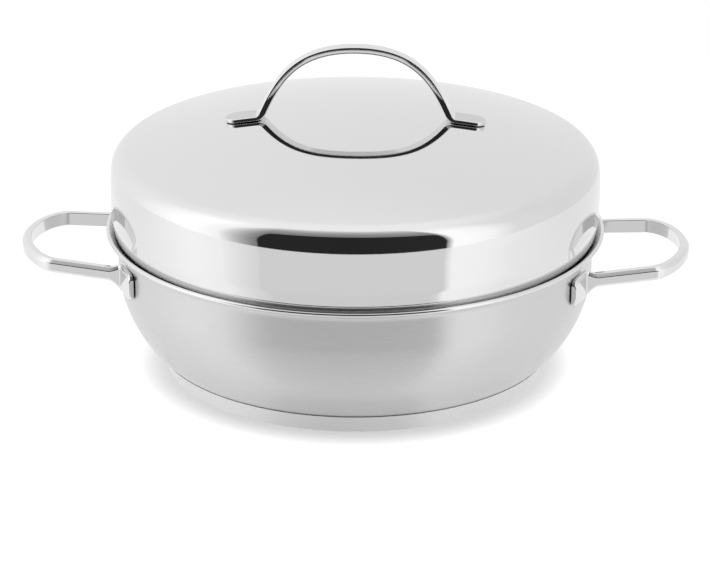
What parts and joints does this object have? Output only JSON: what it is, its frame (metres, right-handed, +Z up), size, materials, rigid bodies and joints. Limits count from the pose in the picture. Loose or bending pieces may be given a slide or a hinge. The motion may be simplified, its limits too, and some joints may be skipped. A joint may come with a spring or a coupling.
{
  "type": "smoker pan",
  "caption": "Deep round steel pan with a sandwich base, loop side handles and a domed strap-handled lid, holding a drip tray on feet and a wire rack for smoking food.",
  "frame": {"origin": "centre of the underside of the base, on the hob", "axes": "+Z up, the way the lid lifts; the side handles and the lid's handle lie along X; -Y faces the cook"},
  "size_m": [0.3804, 0.2846, 0.1877],
  "materials": {
    "brushed_steel": "stainless steel, brushed round the wall",
    "base_steel": "stainless steel, satin, turned",
    "polished_steel": "stainless steel, mirror-polished wall and finely polished dome",
    "handle_steel": "stainless steel, polished",
    "tray_steel": "stainless steel, satin",
    "wire_steel": "stainless steel wire, bright",
    "aluminium": "plain disc, closed in by the steel capsule"
  },
  "bodies": {
    "pan": {"pan_body": "brushed_steel", "base_core": "aluminium", "base_cap": "base_steel", "side_handle_left": "handle_steel", "side_handle_right": "handle_steel"},
    "lid": {"lid_shell": "polished_steel", "lid_handle": "handle_steel"},
    "rack": {"rack_rim": "wire_steel", "rack_wire_01": "wire_steel", "rack_wire_02": "wire_steel", "rack_wire_03": "wire_steel", "rack_wire_04": "wire_steel", "rack_wire_05": "wire_steel", "rack_wire_06": "wire_steel", "rack_wire_07": "wire_steel", "rack_wire_08": "wire_steel", "rack_wire_09": "wire_steel", "rack_wire_10": "wire_steel", "rack_wire_11": "wire_steel", "rack_wire_12": "wire_steel", "rack_wire_13": "wire_steel", "rack_wire_14": "wire_steel", "rack_wire_15": "wire_steel", "rack_leg_front": "wire_steel", "rack_leg_rear": "wire_steel", "rack_lift_loop_left": "wire_steel", "rack_lift_loop_right": "wire_steel"},
    "tray": {"drip_tray": "tray_steel", "tray_foot_1": "tray_steel", "tray_foot_2": "tray_steel", "tray_foot_3": "tray_steel", "tray_foot_4": "tray_steel"}
  },
  "joints": [
    {"name": "lid_lift", "type": "slide", "parent": "pan", "child": "lid", "axis": [0, 0, 1], "range_m": [0, 0.24]},
    {"name": "rack_lift", "type": "slide", "parent": "pan", "child": "rack", "axis": [0, 0, 1], "range_m": [0, 0.16]},
    {"name": "tray_lift", "type": "slide", "parent": "pan", "child": "tray", "axis": [0, 0, 1], "range_m": [0, 0.08]}
  ],
  "couplings": [
    {"joint": "rack_lift", "follows": "lid_lift", "ratio": 0.66666},
    {"joint": "tray_lift", "follows": "lid_lift", "ratio": 0.33333}
  ]
}
